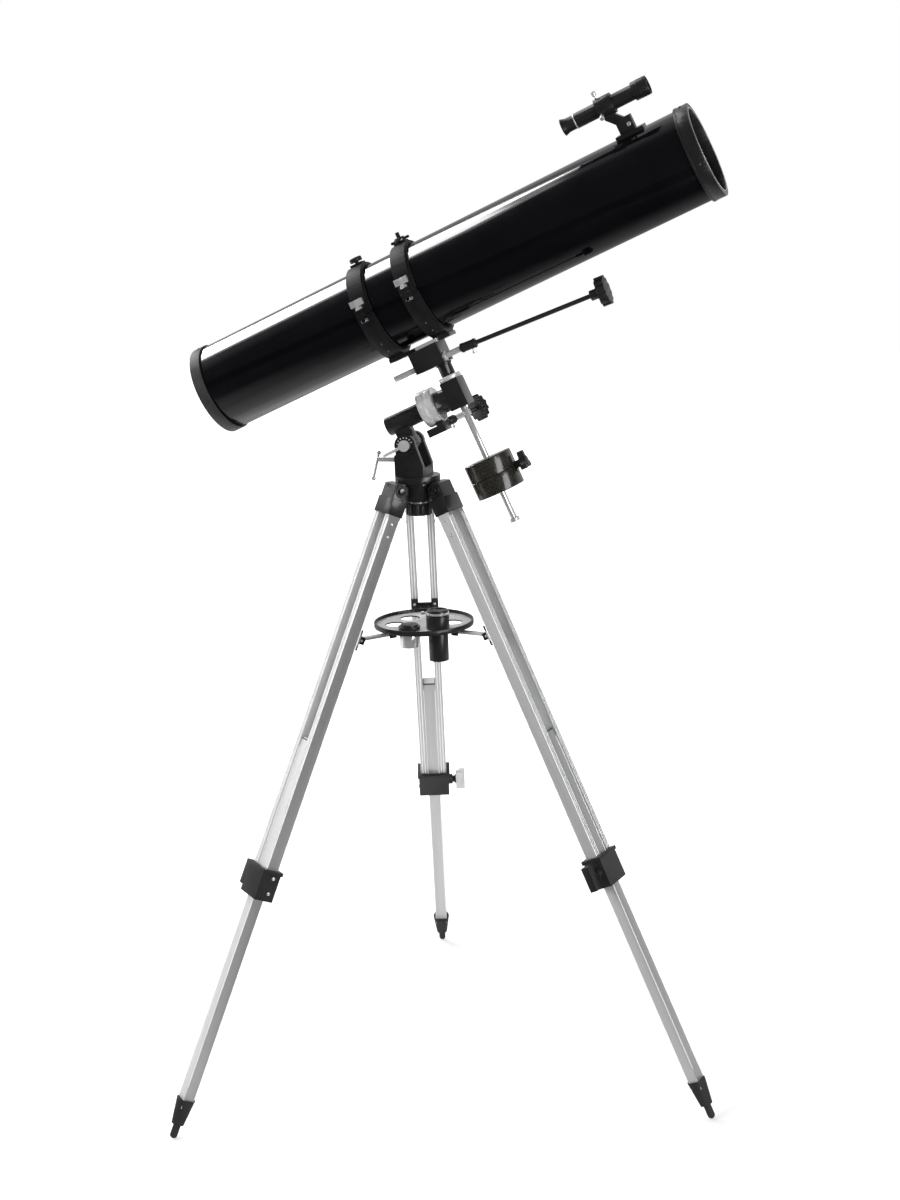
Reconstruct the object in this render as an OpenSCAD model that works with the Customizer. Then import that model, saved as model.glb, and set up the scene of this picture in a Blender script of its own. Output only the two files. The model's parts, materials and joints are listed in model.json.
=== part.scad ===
// Reflecting telescope on a German equatorial mount and a folding aluminium tripod.
// The tripod's axis stands on the origin, the floor is z = 0 and the open end of the tube points to +X.

/* [Tripod] */
// Height of the leg hinges above the floor
hinge_z = 987; // [800:1:1100]
// Distance of a leg hinge from the tripod's axis
hinge_r = 40; // [38:1:46]
// Distance of a foot's tip from the tripod's axis
foot_r = 492; // [420:1:520]
// Direction of the rear leg seen from above
rear_leg_dir = 106; // [90:1:120]
// Outside width of a leg's pair of rails
leg_w = 46; // [44:1:50]
// Depth of a rail
rail_d = 22; // [20:1:26]
// Width of one rail
rail_w = 12; // [10:1:13]

/* [Mount] */
// Height of the polar axis, which the telescope turns about, above the horizon in degrees
polar_alt = 23.5; // [18:0.5:40]
// Distance from the latitude pivot to the declination axis, along the polar axis
head_reach = 105; // [105:1:115]
// Distance from the latitude pivot up to the polar axis
head_rise = 37; // [37:1:40]
// Diameter of the counterweight
weight_dia = 78; // [60:1:80]
// Length of the counterweight
weight_len = 57; // [50:1:60]
// Distance of the counterweight's middle from the polar axis
weight_at = 137; // [125:1:145]
// Radius of the counterweight shaft
weight_shaft_r = 5; // [4:0.5:6]

/* [Telescope] */
// Outside diameter of the tube
tube_dia = 140; // [130:1:140]
// Length of the tube
tube_len = 864; // [800:1:900]
// Wall of the tube
tube_wall = 1.2; // [1:0.1:2]
// Distance from the polar axis to the tube's axis
tube_rise = 171.3; // [171:0.1:175]
// How far the tube's rear end lies behind the declination axis
tube_back = 365; // [350:1:380]
// Place of the focuser along the tube
focuser_at = 703; // [690:1:720]
// Turn of the focuser around the tube, from the top towards the far side
focuser_turn = 66; // [60:1:70]
// Inside radius of the drawtube, which takes 1.25 inch eyepieces
eyepiece_r = 15.9; // [15.8:0.05:16]
// Diameter of the main mirror
mirror_dia = 114; // [110:1:114]

/* [Tray] */
// Radius of the accessory tray
tray_r = 81; // [78:1:84]
// Height of the tray's rim above the floor
tray_z = 770; // [765:1:775]

/* [Hidden] */
$fn = 64;
gap = 0.1;                // flat running gap between bodies
fit = 0.05;               // radial running clearance
leg_splay = atan((foot_r - hinge_r) / (hinge_z - 6));
leg_len = (hinge_z - 6) / cos(leg_splay);      // hinge to the centre of the foot's round tip
rail_top = -40;
rail_end = -674;
lower_top = -420;
lower_end = -1034;
collar_top = -630;
collar_end = -680;
arm_z = 756;              // height of the spreader's pivots
lug_reach = 13;           // from a rail's inner face to the arm's pin
arm_drop = (hinge_z - arm_z - (rail_d / 2 + lug_reach) * sin(leg_splay)) / cos(leg_splay);
arm_r = hinge_r + arm_drop * sin(leg_splay) - (rail_d / 2 + lug_reach) * cos(leg_splay);
arm_in = 62;              // distance of the tray's pivots from the axis
tray_hole_at = 46;        // distance of the tray's six holes from the axis
tray_hole_r = 16.05;      // takes a 1.25 inch barrel
barrel_r = 15.85;
tray_floor = tray_z - 5.5;
clamp_z = -655;           // place of a leg's clamp screw
clamp_r = 3;
hinge_pin_r = 3;
latitude_bolt_r = 4;
latitude_screw_z = 1032;
tommy_turn = 42;          // turn of the latitude screw's sliding bar
worm_r = 3;
ring_pin_r = 2;
ring_screw_y = -85;
camera_screw_r = 3.175;   // 1/4 inch camera thread
pinion_y = 25;
pinion_z = 102;
pinion_r = 2.5;
finder_screw_x = 752;
hub_top = 997;
hub_low = 967;
pivot = [-10, 0, 1059];   // latitude pivot
cheek_y = 19;             // inside of the yoke's cheeks
yoke_y = 29;              // outside of the yoke's cheeks
housing_r = 15;
shaft_r = 8;
wheel_r = 25;
worm_at = -43;            // place of the polar worm wheel along the polar axis
worm_drop = 32;
dec_half = 15;            // half width of the declination housing
dec_worm_y = -20;
dec_worm_z = 62.5;
polar_cable_turn = 39.4;  // from the worm's line, seen along the declination axis
dec_cable_droop = 3.2;
saddle_z = 94;            // top of the saddle plate
ring_at = [-60, 19];      // places of the two tube rings
ring_w = 26;
ring_r = 77;
ring_pin_y = 84;
tube_r = tube_dia / 2;
bore_r = tube_r - tube_wall;
cap_seat_r = tube_r - 5;
weight_r = weight_dia / 2;
finder_turn = 8;
finder_z = 121.5;
legs = [0, 1, 2];

// ---- frames ----
module leg_place(i)
    rotate([0, 0, rear_leg_dir + 120 * i])
        translate([hinge_r, 0, hinge_z])
            rotate([0, -leg_splay, 0])
                children();

module pivot_place() translate(pivot) rotate([0, -polar_alt, 0]) children();
module head_place() pivot_place() translate([head_reach, 0, head_rise]) children();
module tube_place() head_place() translate([-tube_back, 0, tube_rise]) children();
module focus_place() tube_place() translate([focuser_at, 0, 0]) rotate([-focuser_turn, 0, 0]) children();
module finder_place() tube_place() rotate([finder_turn, 0, 0]) children();

// ---- shapes that repeat ----
module rod_x(r, x0, x1) translate([x0, 0, 0]) rotate([0, 90, 0]) cylinder(r = r, h = x1 - x0);
module rod_y(r, y0, y1) translate([0, y1, 0]) rotate([90, 0, 0]) cylinder(r = r, h = y1 - y0);
module rod_z(r, z0, z1) translate([0, 0, z0]) cylinder(r = r, h = z1 - z0);
module block(low, high) translate(low) cube(high - low);

// Round knob with finger scallops, standing on z = 0
module scalloped_knob(r, h, lobes = 10)
    difference() {
        cylinder(r = r, h = h);
        for (k = [0 : lobes - 1])
            rotate([0, 0, 360 / lobes * k])
                translate([r + 1.5, 0, -1])
                    cylinder(r = 4, h = h + 2, $fn = 24);
    }

// ---- tripod head ----
module hub()
    color("dimgray")
        difference() {
            union() {
                rod_z(24, hub_low, hub_top);
                rod_z(28, hub_top - 5, hub_top);
                for (i = legs)
                    rotate([0, 0, rear_leg_dir + 120 * i]) {
                        block([18, -8, hinge_z - 11], [hinge_r, 8, hinge_z + 9]);
                        translate([hinge_r, 0, hinge_z]) rod_y(10, -8, 8);
                    }
            }
            rod_z(weight_shaft_r + fit, hub_low - 1, hub_top + 1);
            for (i = legs)
                rotate([0, 0, rear_leg_dir + 120 * i])
                    translate([hinge_r, 0, hinge_z])
                        rod_y(hinge_pin_r, -9, 9);
        }

module hinge_bolts()
    color("silver")
        for (i = legs)
            leg_place(i) {
                rod_y(hinge_pin_r, -18, 18);
                rod_y(5.5, 18 - gap, 21.5);
                rod_y(5.5, -21.5, gap - 18);
            }

module azimuth_knob()
    color("black") {
        translate([0, 0, hub_low - 23]) scalloped_knob(20.5, 18);
        rod_z(8, hub_low - 5, hub_low - gap);
        rod_z(weight_shaft_r, hub_low - 5, hub_top + 8);
    }

// ---- legs ----
module leg_head(i)
    color("dimgray")
        leg_place(i)
            difference() {
                union() {
                    for (s = [-1, 1])
                        translate([0, s * 13, 0]) {
                            rod_y(11, -4.8, 4.8);
                            block([-11, -4.8, -16], [11, 4.8, 0]);
                        }
                    block([-13, -24, rail_top], [13, 24, -14]);
                    for (s = [-1, 1])
                        translate([0, s * (leg_w - rail_w) / 2, rail_top])
                            block([-rail_d / 2 + 1.6, -rail_w / 2 + 1.6, -52],
                                  [rail_d / 2 - 1.6, rail_w / 2 - 1.6, 1]);
                }
                rod_y(hinge_pin_r + fit, -30, 30);
            }

// Two rails joined by the lug that carries the spreader arm
module rails(i)
    color("silver")
        leg_place(i) {
            for (s = [-1, 1])
                translate([0, s * (leg_w - rail_w) / 2, 0])
                    rail();
            brace_lug();
        }

module rail()
    translate([0, 0, rail_end])
        linear_extrude(rail_top - rail_end)
            difference() {
                square([rail_d, rail_w], center = true);
                square([rail_d - 3, rail_w - 3], center = true);
                for (s = [-1, 1])
                    translate([s * rail_d / 2, 0])
                        square([1.6, 3], center = true);
            }

// The lug sits on the rails' inner faces, clear of the lower leg behind it
module brace_lug()
    translate([-rail_d / 2, 0, -arm_drop])
        difference() {
            union() {
                block([-3, -leg_w / 2, -9], [0, leg_w / 2, 9]);
                for (s = [-1, 1])
                    translate([0, s * 8.6, 0])
                        block([-lug_reach - 6, -2, -6], [-3, 2, 6]);
            }
            translate([-lug_reach, 0, 0]) rod_y(2 + fit, -12, 12);
        }

module collar(i)
    color("dimgray")
        leg_place(i)
            difference() {
                union() {
                    block([-16, -27, collar_end], [16, 27, collar_top]);
                    block([-18, -29, collar_top - 6], [18, 29, collar_top]);
                    translate([0, 0, clamp_z]) rod_y(9, -34, -27);
                }
                block([-rail_d / 2, -leg_w / 2, rail_end], [rail_d / 2, leg_w / 2, collar_top + 1]);
                block([-9.2, -11.1, collar_end - 1], [9.2, 11.1, rail_end + 1]);
                translate([0, 0, clamp_z]) rod_y(clamp_r + fit, -40, -20);
            }

module leg_knob(i)
    color("black")
        leg_place(i)
            translate([0, 0, clamp_z]) {
                rod_y(clamp_r, -50, -27);
                rod_y(6, -40, -34 - gap);
                block([-6, -56, -20], [6, -40, 20]);
            }

module lower_leg(i)
    color("silver")
        leg_place(i) {
            translate([0, 0, lower_end])
                linear_extrude(lower_top - 10 - lower_end)
                    difference() {
                        square([18, 21.8], center = true);
                        square([15, 18.8], center = true);
                    }
            block([-9, -10.9, lower_top - 10], [9, 10.9, lower_top]);
        }

module foot(i)
    color("black")
        leg_place(i) {
            difference() {
                translate([0, 0, -1062]) cylinder(r1 = 10, r2 = 15, h = 42);
                block([-9, -10.9, lower_end], [9, 10.9, -1000]);
            }
            rod_z(6, -leg_len, -1062);
            translate([0, 0, -leg_len]) sphere(r = 6);
        }

// ---- spreader and tray ----
// Flat arm from the tray's ears to the pin in a rail's lug
module arm(i)
    color("silver")
        rotate([0, 0, rear_leg_dir + 120 * i]) {
            block([arm_in, -6, arm_z - 2], [arm_r - 8, 6, arm_z + 2]);
            translate([arm_in, 0, arm_z - 2]) cylinder(r = 6, h = 4);
            block([arm_r - 9, -6, arm_z - 4], [arm_r, 6, arm_z + 4]);
            translate([arm_r, 0, arm_z]) rod_y(4, -6, 6);
            translate([arm_r, 0, arm_z]) rod_y(2, -11, 11);
        }

module tray()
    color("silver")
        difference() {
            union() {
                rod_z(tray_r, tray_z - 8, tray_z);
                for (i = legs)
                    rotate([0, 0, rear_leg_dir + 120 * i])
                        for (s = [-1, 1])
                            translate([arm_in, s * 8.5, 0])
                                block([-6, -1.5, arm_z - 5], [6, 1.5, tray_z - 8]);
            }
            rod_z(tray_r - 3, tray_floor, tray_z + 1);
            for (k = [0 : 5])
                rotate([0, 0, rear_leg_dir + 30 + 60 * k])
                    translate([tray_hole_at, 0, tray_z - 9])
                        cylinder(r = tray_hole_r, h = 10);
        }

// A piece that stands in one of the tray's holes
module tray_hole(k)
    rotate([0, 0, rear_leg_dir + 30 + 60 * k])
        translate([tray_hole_at, 0, tray_floor])
            children();

module eyepiece()
    color("silver")
        tray_hole(2) {
            rod_z(barrel_r, -28, 0);
            rod_z(17.5, gap, 6);
            rod_z(14, 6, 9);
        }

module barlow()
    color("black")
        tray_hole(3) {
            rod_z(barrel_r, -52, 0);
            rod_z(18.5, gap, 22);
            rod_z(17, 22, 30);
        }

// ---- mount head ----
// Base flange with the two cheeks that hold the polar housing
module yoke()
    color("dimgray")
        difference() {
            union() {
                rod_z(36, hub_top + gap, hub_top + 11);
                translate([-4, 0, 0]) block([-22, -yoke_y, hub_top + 11], [22, yoke_y, 1022]);
                for (s = [-1, 1])
                    translate([0, s * (cheek_y + yoke_y) / 2, 0])
                        yoke_cheek(yoke_y - cheek_y);
                block([-34, -12, 1022], [-25, 12, 1040]);
                block([-34, -12, 1008], [-25, 12, 1022]);
            }
            rod_z(weight_shaft_r, hub_top, hub_top + 8);
            translate(pivot) rod_y(latitude_bolt_r + fit, -40, 40);
            translate([0, 0, latitude_screw_z]) rod_x(4 + fit, -40, -20);
        }

module yoke_cheek(w)
    translate(pivot)
        rotate([90, 0, 0])
            linear_extrude(w, center = true) {
                circle(r = 16);
                polygon([[-16, 0], [-16, -37], [28, -37], [28, -34], [16, 0]]);
            }

// Pivot bolt with its disc, nut and clamp lever
module latitude_bolt()
    color("silver")
        translate(pivot) {
            rod_y(latitude_bolt_r, -yoke_y - 4, yoke_y + 4);
            rod_y(9, -yoke_y - 8, -yoke_y - gap);
            rod_y(8, yoke_y + gap, yoke_y + 7);
            rotate([0, -26, 0])
                translate([0, -yoke_y - 5, 0])
                    rod_x(2.5, -38, -6);
        }

// Screw with a cross bar, which sets and holds the latitude
module latitude_screw()
    color("silver")
        translate([0, 0, latitude_screw_z]) {
            rod_x(4, -66, -22);
            translate([-66, 0, 0])
                rotate([-tommy_turn, 0, 0]) {
                    rod_z(2, -36, 13);
                    for (z = [-36, 13])
                        translate([0, 0, z])
                            sphere(r = 3.5);
                }
        }

// Polar axis housing with its wheel case, worm case and the tongue between the cheeks
module polar_housing()
    color("black")
        head_place()
            difference() {
                union() {
                    rod_x(housing_r, -127, -64);
                    rod_x(12, -64, -47);
                    rod_x(29, -48, -36);
                    translate([-head_reach, 0, -head_rise]) rod_y(15, -cheek_y + gap, cheek_y - gap);
                    translate([-head_reach, 0, 0])
                        block([-13, -9, -head_rise], [13, 9, -5]);
                    block([worm_at - 5, -16, -worm_drop - 11], [worm_at + 7, 16, -22]);
                    block([worm_at - 24, -16, -worm_drop - 11], [worm_at - 4, 16, -31]);
                }
                rod_x(shaft_r + fit, -123, -30);
                rod_x(wheel_r + 1, -46, -30);
                translate([-head_reach, 0, -head_rise]) rod_y(latitude_bolt_r + fit, -40, 40);
                translate([worm_at, 0, -worm_drop]) rod_y(6.5, -13, 13);
                translate([worm_at, 0, -worm_drop]) rod_y(worm_r + fit, -14, 20);
                block([worm_at - 5, -8, -worm_drop], [worm_at + 5, 8, -20]);
            }

module polar_circle()
    color("silver")
        head_place()
            difference() {
                rod_x(29.5, -61, -48.5);
                rod_x(12 + fit, -62, -48);
            }

module polar_shaft()
    color("silver")
        head_place() {
            rod_x(shaft_r, -122, -20);
            rod_x(wheel_r, worm_at - 2.5, worm_at + 4.5);
        }

module polar_worm()
    color("silver")
        head_place()
            translate([worm_at, 0, -worm_drop]) {
                rod_y(worm_r, -13.9, 26);
                for (k = [-3 : 3])
                    translate([0, 2.4 * k, 0])
                        rod_y(6, -0.8, 0.8);
            }

// Flexible slow-motion cable of the polar axis with its knob, at an angle to the worm
module polar_cable()
    color("black")
        head_place()
            translate([worm_at, 30, -worm_drop])
                rotate([0, 0, 90 - polar_cable_turn]) {
                    rod_x(7, 0, 14);
                    rod_x(4, 14, 58);
                    translate([58, 0, 0]) rotate([0, 90, 0]) scalloped_knob(21.5, 12, 12);
                }

module dec_housing()
    color("black")
        head_place()
            difference() {
                union() {
                    block([-dec_half, -19, -20], [dec_half, 19, 26]);
                    rod_x(18.5, -35.5, -dec_half);
                    rod_z(10, 26, 34);
                }
                rod_x(shaft_r, -40, -20);
                rod_z(shaft_r, -6, 35);
                rod_z(weight_shaft_r, -21, -10);
            }

module dec_circle()
    color("silver")
        head_place()
            difference() {
                rod_z(18, 26 + gap, 33.5);
                rod_z(10 + fit, 20, 40);
            }

module dec_shaft()
    color("silver")
        head_place() {
            rod_z(shaft_r, -6, 76);
            rod_z(14, 58, 67);
        }

module dec_worm()
    color("silver")
        head_place()
            translate([0, dec_worm_y, dec_worm_z]) {
                rod_x(worm_r, -77, 38);
                rod_x(4.5, -77, -39);
                for (k = [-4 : 4])
                    translate([3 * k, 0, 0])
                        rod_x(5, -1, 1);
            }

// The cable hangs a little below the worm's line
module dec_cable()
    color("black")
        head_place()
            translate([42, dec_worm_y, dec_worm_z])
                rotate([0, dec_cable_droop, 0]) {
                    rod_x(7, 0, 26);
                    rod_x(3.5, 26, 233);
                    rod_x(8, 219, 233);
                    translate([233, 0, 0]) rotate([0, 90, 0]) scalloped_knob(23, 14, 12);
                }

module weight_shaft()
    color("silver")
        head_place()
            rod_z(weight_shaft_r, -212, -10);

module toe_stop()
    color("silver")
        head_place()
            rod_z(8, -218, -212);

module counterweight()
    color("dimgray")
        head_place()
            translate([0, 0, -weight_at])
                difference() {
                    rotate_extrude()
                        polygon([
                            [weight_shaft_r + fit, -weight_len / 2],
                            [weight_r - 1, -weight_len / 2],
                            [weight_r, -weight_len / 2 + 1],
                            [weight_r, -1],
                            [weight_r - 1.5, 0],
                            [weight_r, 1],
                            [weight_r, weight_len / 2 - 1],
                            [weight_r - 1, weight_len / 2],
                            [weight_shaft_r + fit, weight_len / 2]
                        ]);
                    rod_x(3 + fit, 0, weight_r + 1);
                }

module weight_knob()
    color("black")
        head_place()
            translate([0, 0, -weight_at]) {
                rod_x(3, weight_shaft_r + 2, weight_r + 8);
                rod_x(6, weight_r + gap, weight_r + 8);
                translate([weight_r + 8, 0, 0]) {
                    rod_x(8, 0, 12);
                    for (k = [0 : 2])
                        rotate([120 * k, 0, 0]) {
                            block([1, -4.5, 0], [11, 4.5, 13]);
                            translate([0, 0, 13]) rod_x(4.5, 1, 11);
                        }
                }
            }

// ---- cradle ----
module saddle()
    color("dimgray")
        head_place()
            difference() {
                union() {
                    block([-74, -18, saddle_z - 6], [34, 18, saddle_z]);
                    block([-38, -31, 54], [12, 20, saddle_z - 6]);
                    rod_z(11.5, 34 + gap, 54);
                }
                rod_z(shaft_r + fit, 30, 78);
                rod_z(15, 56, 68);
                block([-14, dec_worm_y - 6, 56], [8, dec_worm_y + 8, 69]);
                translate([0, dec_worm_y, dec_worm_z]) rod_x(worm_r + fit, -40, 20);
                translate([0, dec_worm_y, dec_worm_z]) rod_x(6, -15, 12.5);
            }

// Lower halves of both tube rings, with the hinge pins
module ring_lowers()
    color("dimgray")
        head_place()
            for (x = ring_at)
                translate([x, 0, tube_rise]) {
                    difference() {
                        union() {
                            intersection() {
                                rod_x(ring_r, -ring_w / 2, ring_w / 2);
                                block([-ring_w, -90, -100], [ring_w, 90, -gap]);
                            }
                            block([-ring_w / 2, -18, saddle_z - tube_rise], [ring_w / 2, 18, -70]);
                            block([-8, -92, -8], [8, -72, -gap]);
                            for (s = [-1, 1])
                                translate([s * 9.6, 0, 0]) {
                                    block([-3.4, 74, -8], [3.4, ring_pin_y, 0]);
                                    translate([0, ring_pin_y, 0]) rod_x(4, -3.4, 3.4);
                                }
                        }
                        rod_x(tube_r + 0.3, -20, 20);
                        translate([0, ring_screw_y, 0]) rod_z(4, -12, 1);
                    }
                    translate([0, ring_pin_y, 0]) rod_x(ring_pin_r, -ring_w / 2, ring_w / 2);
                }

// Upper half of a tube ring with its clamp screw
module ring_top()
    translate([0, 0, tube_rise]) {
        difference() {
            union() {
                intersection() {
                    rod_x(ring_r, -ring_w / 2, ring_w / 2);
                    block([-ring_w, -90, 0], [ring_w, 82, 100]);
                }
                block([-8, -92, 0], [8, -72, 8]);
                block([-5.9, 74, 0], [5.9, ring_pin_y, 4]);
                translate([0, ring_pin_y, 0]) rod_x(4, -5.9, 5.9);
                block([-10, -10, ring_r - 3], [10, 10, ring_r + 3]);
            }
            rod_x(tube_r + 0.3, -20, 20);
            translate([0, ring_pin_y, 0]) rod_x(ring_pin_r + fit, -20, 20);
            translate([0, ring_screw_y, 0]) rod_z(3, -1, 10);
            children();
        }
        translate([0, ring_screw_y, 0]) {
            rod_z(3, -7, 12);
            rod_z(6, 8, 12);
            block([-3, -4, 12], [3, 4, 22]);
            block([-11, -2.5, 14], [11, 2.5, 24]);
        }
    }

module ring_top_rear() color("dimgray") head_place() translate([ring_at[0], 0, 0]) ring_top();
module ring_top_front()
    color("dimgray")
        head_place()
            translate([ring_at[1], 0, 0])
                ring_top()
                    rod_z(camera_screw_r + fit, ring_r - 2.5, ring_r + 4);

module camera_screw()
    color("silver")
        head_place()
            translate([ring_at[1], 0, tube_rise + ring_r]) {
                rod_z(camera_screw_r, -2, 18);
                rod_z(9, 3 + gap, 8);
            }

// ---- telescope ----
module tube()
    color("black")
        difference() {
            tube_place()
                difference() {
                    rod_x(tube_r, 0, tube_len);
                    rod_x(bore_r, -1, tube_len + 1);
                }
            focus_place() rod_z(21.5, 40, 90);
        }

module rear_cell()
    color("dimgray")
        tube_place()
            difference() {
                union() {
                    rod_x(tube_r + 2.5, -6, 12);
                    rod_x(60, 0, 44);
                }
                difference() {
                    rod_x(tube_r, 0, 13);
                    rod_x(60, -1, 14);
                }
                rod_x(57.2, 20, 45);
                rod_x(48, 0, 16);
                for (k = [0 : 2])
                    rotate([120 * k + 30, 0, 0])
                        translate([0, 0, 40])
                            rod_x(2.5, -8, 0);
            }

// Main mirror with a hollow face, and the small flat mirror set at 45 degrees
module mirrors()
    color("lightgray") {
        tube_place()
            translate([20, 0, 0])
                rotate([0, 90, 0])
                    rotate_extrude()
                        polygon(concat([[0, 0], [mirror_dia / 2, 0]], mirror_arc()));
        focus_place()
            intersection() {
                rod_x(16, -20, 20);
                rotate([0, 45, 0]) block([0, -30, -40], [4, 30, 40]);
            }
    }

// Points of the main mirror's face, from its rim to its middle
function mirror_arc() = [for (k = [6 : -1 : 0]) let(r = mirror_dia / 12 * k) [r, 17 + r * r / 3240]];

// Four vanes and the holder of the flat mirror
module spider()
    color("dimgray")
        focus_place() {
            rod_x(9, 18, 52);
            intersection() {
                rod_x(15, 0, 24);
                rotate([0, 45, 0]) block([4, -30, -40], [40, 30, 40]);
            }
            for (k = [0 : 3])
                rotate([45 + 90 * k, 0, 0])
                    block([26, -0.6, 8], [46, 0.6, bore_r]);
        }

// Moulded ring with a groove for the tube's edge; its inner sleeve seats the dust cap
module front_ring()
    color("black")
        tube_place()
            difference() {
                rod_x(tube_r + 3, tube_len - 17, tube_len + 4);
                difference() {
                    rod_x(tube_r, tube_len - 18, tube_len);
                    rod_x(bore_r, tube_len - 19, tube_len + 1);
                }
                rod_x(cap_seat_r, tube_len - 18, tube_len + 5);
            }

// Collimation screws at the rear, and the three screws that aim the finder
module thumb_screws()
    color("silver") {
        tube_place()
            for (k = [0 : 2])
                rotate([120 * k + 30, 0, 0])
                    translate([0, 0, 40]) {
                        rod_x(2.5, -6, 16);
                        rod_x(6, -18, -6);
                    }
        finder_place()
            translate([finder_screw_x, 0, finder_z])
                for (k = [0 : 2])
                    rotate([120 * k, 0, 0]) {
                        rod_z(1.5, 11.3, 20);
                        rod_z(3.5, 20, 27);
                    }
    }

module focuser_base()
    color("black")
        difference() {
            focus_place()
                difference() {
                    union() {
                        block([-36, -32, 50], [36, 32, 76]);
                        rod_z(25, 60, 116);
                        block([-18, 10, 92], [18, 33, 112]);
                    }
                    rod_z(17.55, 40, 120);
                    block([-3.1, 0, 40], [3.1, 20.5, 120]);
                    translate([0, pinion_y, pinion_z]) rod_x(pinion_r + fit, -40, 40);
                    translate([0, pinion_y, pinion_z]) rod_x(5, -7, 7);
                }
            tube_place() rod_x(tube_r, focuser_at - 60, focuser_at + 60);
        }

module drawtube()
    color("silver")
        focus_place()
            difference() {
                union() {
                    rod_z(17.5, 62, 148);
                    block([-3, 10, 66], [3, 20.2, 140]);
                }
                rod_z(eyepiece_r, 60, 150);
            }

module focus_pinion()
    color("black")
        focus_place()
            translate([0, pinion_y, pinion_z]) {
                rod_x(pinion_r, -44, 44);
                rod_x(4.6, -6.9, 6.9);
                for (s = [-1, 1])
                    translate([s * 37, 0, 0])
                        rod_x(15, -9, 9);
            }

module finder_bracket()
    color("black")
        difference() {
            finder_place()
                difference() {
                    union() {
                        translate([0, 0, finder_z]) rod_x(15.5, 747, 773);
                        hull() {
                            block([752, -7, 103], [765, 7, 110]);
                            block([766, -7, 88], [778, 7, 96]);
                        }
                        block([764, -9, 60], [788, 9, 96]);
                        block([756, -17, 60], [800, 17, 74]);
                    }
                    translate([0, 0, finder_z]) rod_x(13, 740, 780);
                    for (k = [0 : 2])
                        translate([finder_screw_x, 0, finder_z])
                            rotate([120 * k, 0, 0])
                                rod_z(1.5, 10, 20);
                }
            tube_place() rod_x(tube_r, 700, 820);
        }

module finder_scope()
    color("black")
        finder_place()
            translate([0, 0, finder_z])
                difference() {
                    union() {
                        rod_x(11.3, 712, 806);
                        rod_x(14, 806, 830);
                        rod_x(13, 767, 772);
                        rod_x(10.5, 696, 712);
                        translate([690, 0, 0]) rotate([0, 90, 0]) cylinder(r1 = 13, r2 = 10.5, h = 8);
                    }
                    rod_x(12, 812, 831);
                }

hub();
hinge_bolts();
azimuth_knob();
tray();
eyepiece();
barlow();
leg_head(0);  // leg_head_1
leg_head(1);  // leg_head_2
leg_head(2);  // leg_head_3
rails(0);  // rails_1
rails(1);  // rails_2
rails(2);  // rails_3
collar(0);  // collar_1
collar(1);  // collar_2
collar(2);  // collar_3
leg_knob(0);  // leg_knob_1
leg_knob(1);  // leg_knob_2
leg_knob(2);  // leg_knob_3
lower_leg(0);  // lower_leg_1
lower_leg(1);  // lower_leg_2
lower_leg(2);  // lower_leg_3
foot(0);  // foot_1
foot(1);  // foot_2
foot(2);  // foot_3
arm(0);  // arm_1
arm(1);  // arm_2
arm(2);  // arm_3
yoke();
latitude_bolt();
latitude_screw();
polar_housing();
polar_circle();
polar_shaft();
polar_worm();
polar_cable();
dec_housing();
dec_circle();
dec_shaft();
dec_worm();
dec_cable();
weight_shaft();
counterweight();
weight_knob();
toe_stop();
saddle();
ring_lowers();
ring_top_rear();
ring_top_front();
camera_screw();
tube();
rear_cell();
mirrors();
front_ring();
spider();
thumb_screws();
focuser_base();
drawtube();
focus_pinion();
finder_bracket();
finder_scope();
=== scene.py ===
"""Looks for the reflecting telescope on its tripod: edges, fittings, finishes, light and camera.

Fittings are drawn in millimetres, each in a frame that follows the joints it belongs to.
"""

import json
import math

import bmesh
import bpy
from mathutils import Matrix, Vector

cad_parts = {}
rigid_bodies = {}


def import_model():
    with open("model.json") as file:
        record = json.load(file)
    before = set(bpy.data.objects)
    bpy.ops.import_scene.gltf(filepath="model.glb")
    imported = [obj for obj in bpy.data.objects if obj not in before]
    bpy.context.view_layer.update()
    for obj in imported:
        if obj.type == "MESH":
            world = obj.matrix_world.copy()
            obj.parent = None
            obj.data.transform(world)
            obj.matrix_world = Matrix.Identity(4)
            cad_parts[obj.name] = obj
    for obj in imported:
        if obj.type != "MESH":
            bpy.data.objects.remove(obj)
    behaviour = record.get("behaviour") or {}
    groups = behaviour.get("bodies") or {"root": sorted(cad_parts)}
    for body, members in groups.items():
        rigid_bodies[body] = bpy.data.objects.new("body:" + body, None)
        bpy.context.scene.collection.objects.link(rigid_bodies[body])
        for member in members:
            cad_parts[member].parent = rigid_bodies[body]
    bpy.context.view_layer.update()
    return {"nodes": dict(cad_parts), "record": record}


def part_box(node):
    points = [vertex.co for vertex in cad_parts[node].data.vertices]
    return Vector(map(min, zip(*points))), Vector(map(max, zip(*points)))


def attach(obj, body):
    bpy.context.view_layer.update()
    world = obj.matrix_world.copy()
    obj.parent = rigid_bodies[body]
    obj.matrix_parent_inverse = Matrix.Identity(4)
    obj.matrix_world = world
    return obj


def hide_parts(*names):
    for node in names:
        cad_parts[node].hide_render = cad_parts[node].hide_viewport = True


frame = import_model()
NODES = frame["nodes"]
BEHAVIOUR = frame["record"]["behaviour"]
JOINTS = {joint["name"]: joint for joint in BEHAVIOUR["joints"]}
LEG_NUMBERS = (1, 2, 3)
SIDES = (-1, 1)
MM_PER_M = 1000


# ---- frames: the mount's head, the tube, the focuser, the finder and each leg ----
def axes_matrix(x, y, z, origin):
    """A frame whose own X, Y and Z point along x, y and z."""
    m = Matrix((x, y, z)).transposed().to_4x4()
    m.translation = Vector(origin)
    return m


def at(where, x=0, y=0, z=0):
    """A frame moved by millimetres along its own axes."""
    return where @ Matrix.Translation(Vector((x, y, z)) / MM_PER_M)


def turned(where, degrees, axis):
    """A frame turned about one of its own axes."""
    return where @ Matrix.Rotation(math.radians(degrees), 4, axis)


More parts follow.
